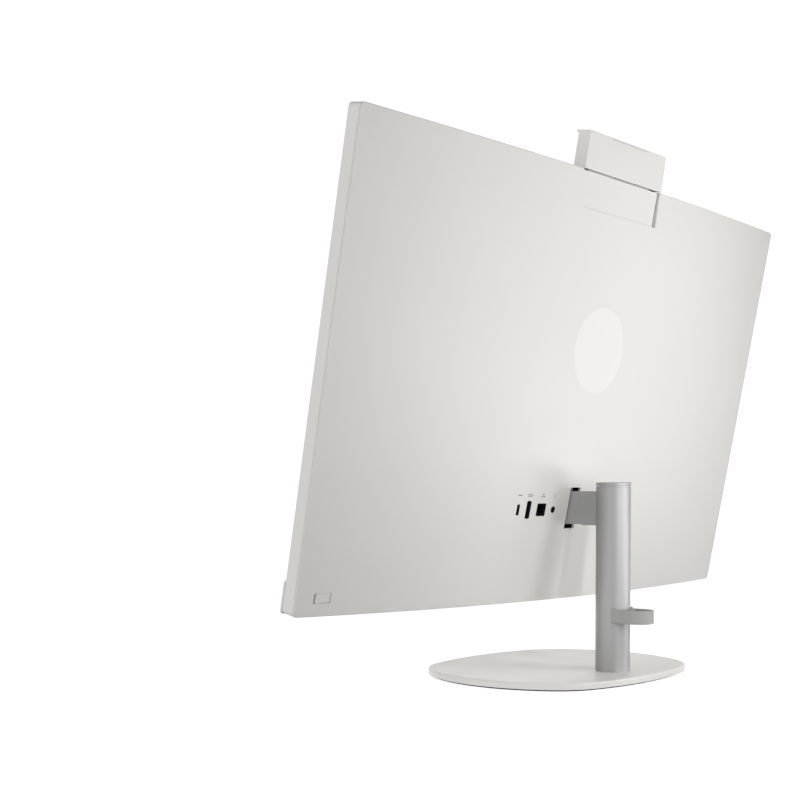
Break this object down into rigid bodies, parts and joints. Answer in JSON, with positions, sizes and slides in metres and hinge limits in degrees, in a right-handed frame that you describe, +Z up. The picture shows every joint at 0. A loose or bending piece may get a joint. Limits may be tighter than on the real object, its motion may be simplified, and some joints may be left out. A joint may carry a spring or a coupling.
{
  "type": "all in one desktop computer",
  "caption": "Slim wide screen computer on a round column stand with an oval base, tilting head, pop-up camera, rear sockets and a cable ring.",
  "frame": {"origin": "on the desk, under the middle of the oval base", "axes": "+X to the right of someone facing the screen, +Y to the rear, +Z up"},
  "size_m": [0.613, 0.194, 0.462],
  "materials": {
    "cover_white": "fine satin moulded",
    "base_white": "fine powder coat",
    "satin_aluminium": "satin anodised",
    "arm_grey": "satin",
    "ring_grey": "satin",
    "rubber_black": "matte",
    "plain_steel": "zinc plated",
    "screen_glass": "anti-glare",
    "backlight_plastic": "matte",
    "emblem_white": "satin gloss",
    "connector_metal": "nickel plated",
    "port_black": "matte",
    "board_green": "solder mask",
    "chip_black": "matte",
    "copper": "bare",
    "fin_aluminium": "bare",
    "lens_glass": "coated"
  },
  "bodies": {
    "stand": {"base_plate": "base_white", "base_feet": "rubber_black", "column_tube": "satin_aluminium", "column_cap": "satin_aluminium", "column_core": "plain_steel", "column_pins": "plain_steel", "column_bolt": "plain_steel", "hinge_arm": "arm_grey", "arm_sleeve": "arm_grey", "cable_ring": "ring_grey"},
    "head": {"front_frame": "cover_white", "chin_cover": "cover_white", "display_panel": "screen_glass", "backlight_module": "backlight_plastic", "chassis_plate": "plain_steel", "chassis_screws": "plain_steel", "hinge_bracket": "plain_steel", "hinge_shaft": "plain_steel", "friction_washers": "plain_steel", "hinge_nut": "plain_steel", "hinge_screws": "plain_steel", "rear_cover": "cover_white", "emblem_disc": "emblem_white", "usb_c_socket": "connector_metal", "video_socket": "connector_metal", "network_socket": "connector_metal", "dc_inlet": "port_black", "usb_a_sockets": "connector_metal", "audio_socket": "port_black", "mainboard": "board_green", "board_standoffs": "plain_steel", "board_screws": "plain_steel", "cpu_package": "chip_black", "cpu_cold_plate": "copper", "heat_pipe": "copper", "fin_stack": "fin_aluminium", "fan_housing": "port_black", "fan_screws": "plain_steel", "memory_sockets": "port_black", "memory_modules": "board_green", "storage_drive": "board_green", "wireless_card": "board_green", "card_sockets": "port_black", "coin_cell": "connector_metal", "speaker_boxes": "port_black", "speaker_drivers": "chip_black", "antennas": "copper", "button_board": "board_green", "button_switch": "port_black", "camera_guide": "port_black"},
    "camera": {"camera_rear_shell": "cover_white", "camera_front_shell": "port_black", "camera_top_cap": "cover_white", "camera_carriage": "cover_white", "camera_board": "board_green", "camera_module": "chip_black", "camera_window": "lens_glass"},
    "power_button": {"power_button": "cover_white"},
    "fan": {"fan_impeller": "port_black"}
  },
  "joints": [
    {"name": "head_tilt", "type": "hinge", "parent": "stand", "child": "head", "pos_m": [0, 0.00142, 0.15086], "axis": [-1, 0, 0], "range_deg": [-16.1, 8.9]},
    {"name": "camera_slide", "type": "slide", "parent": "head", "child": "camera", "axis": [0, 0.1925, 0.9813], "range_m": [-0.0309, 0]},
    {"name": "power_button_press", "type": "slide", "parent": "head", "child": "power_button", "axis": [0, -0.9813, 0.1925], "range_m": [0, 0.0008], "stiffness_N_per_m": 1200, "springref_m": -0.0004},
    {"name": "fan_spin", "type": "hinge", "parent": "head", "child": "fan", "pos_m": [-0.15, 0.0106, 0.21581], "axis": [0, 0.9813, -0.1925], "continuous": true}
  ]
}
